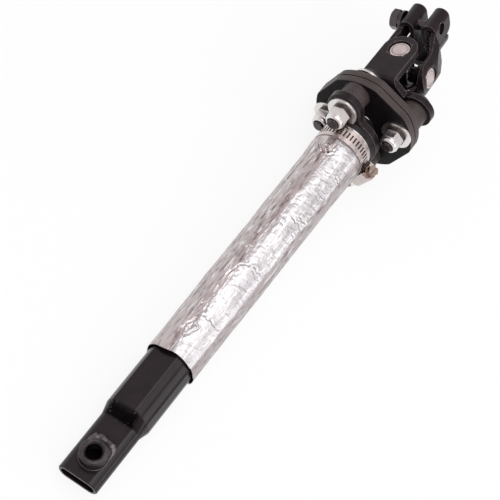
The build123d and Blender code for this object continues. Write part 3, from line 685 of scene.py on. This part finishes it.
def sleeve_radius(x, angle):
    """Radius of the foil at a station and an angle."""
    along = (x - SLEEVE_START) / (SLEEVE_END - SLEEVE_START)
    radius = SLEEVE_LOW_RADIUS + (SLEEVE_HIGH_RADIUS - SLEEVE_LOW_RADIUS) * along
    radius += BULGE * smooth_step(x, *BULGE_RISE) * (1 - smooth_step(x, *BULGE_FALL))
    free = 1 - smooth_step(x, BAND_LOW.x - BAND_RUN_IN, BAND_LOW.x)
    radius += sleeve_height(x, angle) * free
    lap = turn_from(SEAM_ANGLE, angle)
    step = smooth_step(lap, -SEAM_EDGE, SEAM_EDGE) * (1 - smooth_step(lap, 0.0, SEAM_LAP))
    radius += SEAM_STEP * step * free
    for row in DENTS:
        radius += dent(x, angle, radius, *row)
    for row in CREASES:
        radius += crease(x, angle, radius, *row)
    return max(radius, SLEEVE_LEAST_RADIUS)


def sleeve_point(x, angle, wall):
    """A point of the foil, with the lower edge a little ragged."""
    radius = sleeve_radius(x, angle) - wall
    ragged = 0.5 + noise.noise(Vector((5, 0, 0)) + circle(angle) * RAGGED_AROUND)
    shift = RAGGED_EDGE * ragged * (1 - smooth_step(x, SLEEVE_START, SLEEVE_START + RAGGED_REACH))
    return x + shift, radius * math.sin(angle), radius * math.cos(angle)


def foil_sleeve():
    """The crumpled foil sleeve over the telescoping tube, with a turned-in lower edge."""
    length = SLEEVE_END - SLEEVE_START
    rows = [(SLEEVE_START + HEM_PITCH * row, FOIL_WALL) for row in range(HEM_ROWS, 0, -1)]
    rows += [(SLEEVE_START + length * row / SLEEVE_ALONG, 0.0) for row in range(SLEEVE_ALONG + 1)]
    angles = [2 * math.pi * step / SLEEVE_AROUND for step in range(SLEEVE_AROUND)]
    vertices = [sleeve_point(x, angle, wall) for x, wall in rows for angle in angles]
    faces = []
    for row in range(len(rows) - 1):
        low, high = row * SLEEVE_AROUND, (row + 1) * SLEEVE_AROUND
        for step in range(SLEEVE_AROUND):
            turn = (step + 1) % SLEEVE_AROUND
            faces.append((low + step, low + turn, high + turn, high + step))
    sleeve = new_object("foil_sleeve", vertices, faces, FOIL)
    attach(sleeve, "shaft")
    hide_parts("heat_shield")


# Weld round the collar

BEAD_AROUND = 220
BEAD_SECTION = 12
BEAD_HEAVY = (0.30, 0.92)
# Reach and size of the bead: the least, and what is added where it is heavy
BEAD_REACH = (COLLAR_RADIUS + 0.1 * MM, 3.0 * MM)
BEAD_SIZE = (0.35 * MM, 2.25 * MM)
BEAD_FLATNESS = 0.8
BEAD_RIPPLES = 26
BEAD_RIPPLE = 0.04
BEAD_LUMP_SCALE = 3.6
BEAD_LUMP = 0.40


def weld_bead():
    """The rippled bead that joins the collar to the socket's flat, heavier towards the tube."""
    vertices, faces = [], []
    for step in range(BEAD_AROUND):
        turn = 2 * math.pi * step / BEAD_AROUND
        out = SHAFT * math.cos(turn) + COLLAR_ACROSS * math.sin(turn)
        heavy = smooth_step(math.cos(turn), *BEAD_HEAVY)
        lumps = noise.noise(BEAD_LUMP_SCALE * out + Vector((3, 0, 0)))
        uneven = BEAD_RIPPLE * math.sin(BEAD_RIPPLES * turn) + BEAD_LUMP * lumps
        size = (BEAD_SIZE[0] + BEAD_SIZE[1] * heavy) * (1 + uneven)
        reach = BEAD_REACH[0] + BEAD_REACH[1] * heavy
        middle = COLLAR_PLACE + out * reach + COLLAR_AXIS * COLLAR_SEAT
        for corner in range(BEAD_SECTION):
            swing = 2 * math.pi * corner / BEAD_SECTION
            rise = COLLAR_AXIS * math.sin(swing) * BEAD_FLATNESS
            vertices.append(middle + size * (out * math.cos(swing) + rise))
    for step in range(BEAD_AROUND):
        low, high = step * BEAD_SECTION, (step + 1) % BEAD_AROUND * BEAD_SECTION
        for corner in range(BEAD_SECTION):
            side = (corner + 1) % BEAD_SECTION
            faces.append((low + corner, high + corner, high + side, low + side))
    bead = new_object("collar_weld_bead", vertices, faces, WELD)
    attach(bead, "tube")


# Floor, light and camera

# Station of the object's middle
MIDDLE = 0.2
FLOOR_HALF = 4.0
# Share of plain white in the floor where the camera or a reflection sees it
FLOOR_GLOW = 0.87


def pale_floor():
    """A white floor that touches the disc's flat and the sleeve's lower end."""
    disc_low, disc_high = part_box("coupling_disc")
    disc_x = (disc_low.x + disc_high.x) / 2
    slope = (-SLEEVE_LOW_RADIUS - disc_low.z) / (disc_x - SLEEVE_START)
    sides = ((-1, -1), (1, -1), (1, 1), (-1, 1))
    corners = [(x * FLOOR_HALF, y * FLOOR_HALF, -slope * x * FLOOR_HALF) for x, y in sides]
    shader = Shader("pale_floor", Roughness=0.6, Specular_IOR_Level=0.1)
    tone = shader.ramp(shader.noise(3, 2), (0.3, scaled(WHITE, 0.86)), (0.7, scaled(WHITE, 0.88)))
    shader.drive("Base Color", tone)
    seen = shader.add("LightPath").outputs
    direct = shader.compute("MAXIMUM", seen["Is Camera Ray"], seen["Is Glossy Ray"])
    direct = shader.compute("MAXIMUM", direct, seen["Is Transmission Ray"])
    glow = shader.add("Emission")
    shader.feed(glow.inputs["Strength"], 1.0)
    blend = shader.add("MixShader")
    shader.feed(blend.inputs["Fac"], shader.compute("MULTIPLY", direct, FLOOR_GLOW))
    shader.feed(blend.inputs[1], shader.surface.outputs["BSDF"])
    shader.feed(blend.inputs[2], glow.outputs["Emission"])
    shader.feed(shader.nodes["Material Output"].inputs["Surface"], blend.outputs["Shader"])
    floor = new_object("floor", corners, [(0, 1, 2, 3)], shader.material, smooth=False)
    floor.location = (MIDDLE, 0, disc_low.z + slope * (disc_x - MIDDLE))


def area_lamp(name, place, size, power):
    """A soft box that looks at the middle of the object."""
    lamp = bpy.data.lights.new(name, "AREA")
    lamp.shape = "RECTANGLE"
    lamp.size, lamp.size_y = size
    lamp.energy = power
    obj = link(bpy.data.objects.new(name, lamp))
    obj.location = place
    view = Vector((MIDDLE, 0, 0)) - Vector(place)
    obj.rotation_euler = view.to_track_quat("-Z", "Y").to_euler()


def studio_world():
    """White sweep up to the horizon under a dim room, lighter towards its two sides."""
    world = bpy.data.worlds.new("studio")
    world.use_nodes = True
    tree = NodeTree(world.node_tree)
    split = tree.add("SeparateXYZ")
    tree.feed(split.inputs["Vector"], tree.add("TexCoord").outputs["Generated"])
    side = tree.compute("MULTIPLY_ADD", split.outputs["Y"], -0.5, 0.5)
    walls = tree.ramp(
        side,
        (0.12, (0.74, 0.685, 0.69)),
        (0.35, (0.46, 0.41, 0.415)),
        (0.95, (0.56, 0.515, 0.525)),
    )
    sweep = tree.ramp(split.outputs["Z"], (0.03, 1.0), (0.14, 0.0))
    room = tree.mix(sweep, walls, WHITE)
    seen = tree.add("LightPath").outputs["Is Camera Ray"]
    background = tree.nodes["Background"]
    tree.feed(background.inputs["Color"], tree.mix(seen, room, WHITE))
    tree.feed(background.inputs["Strength"], 1.0)
    bpy.context.scene.world = world


def photo_camera():
    """The camera at the photograph's place."""
    forward = Vector((
        math.sin(VIEW_TURN) * math.cos(VIEW_TILT),
        math.sin(VIEW_TILT),
        -math.cos(VIEW_TURN) * math.cos(VIEW_TILT),
    ))
    up = (SHAFT - forward * SHAFT.dot(forward)).normalized()
    right = forward.cross(up)
    roll = Matrix.Rotation(CAMERA_ROLL, 3, "Z")
    turned = Matrix((right, up, -forward)).transposed() @ roll.transposed()
    camera = bpy.data.cameras.new("photo_camera")
    camera.sensor_width = SENSOR_WIDTH
    camera.lens = FOCAL_LENGTH / IMAGE_WIDTH * SENSOR_WIDTH
    obj = link(bpy.data.objects.new("photo_camera", camera))
    obj.matrix_world = Matrix.Translation(CAMERA_PLACE) @ turned.to_4x4()
    bpy.context.scene.camera = obj


dress_nodes()
foil_sleeve()
weld_bead()
pale_floor()
area_lamp("key_light", place=(0.2, 0.24, 1.0), size=(1.6, 0.62), power=5.7)
area_lamp("top_light", place=(0.2, -0.32, 1.0), size=(1.6, 0.45), power=2.4)
area_lamp("right_light", place=(0.25, -0.9, 0.60), size=(1.4, 0.6), power=3.6)
studio_world()
photo_camera()
bpy.context.scene.view_settings.view_transform = "Standard"
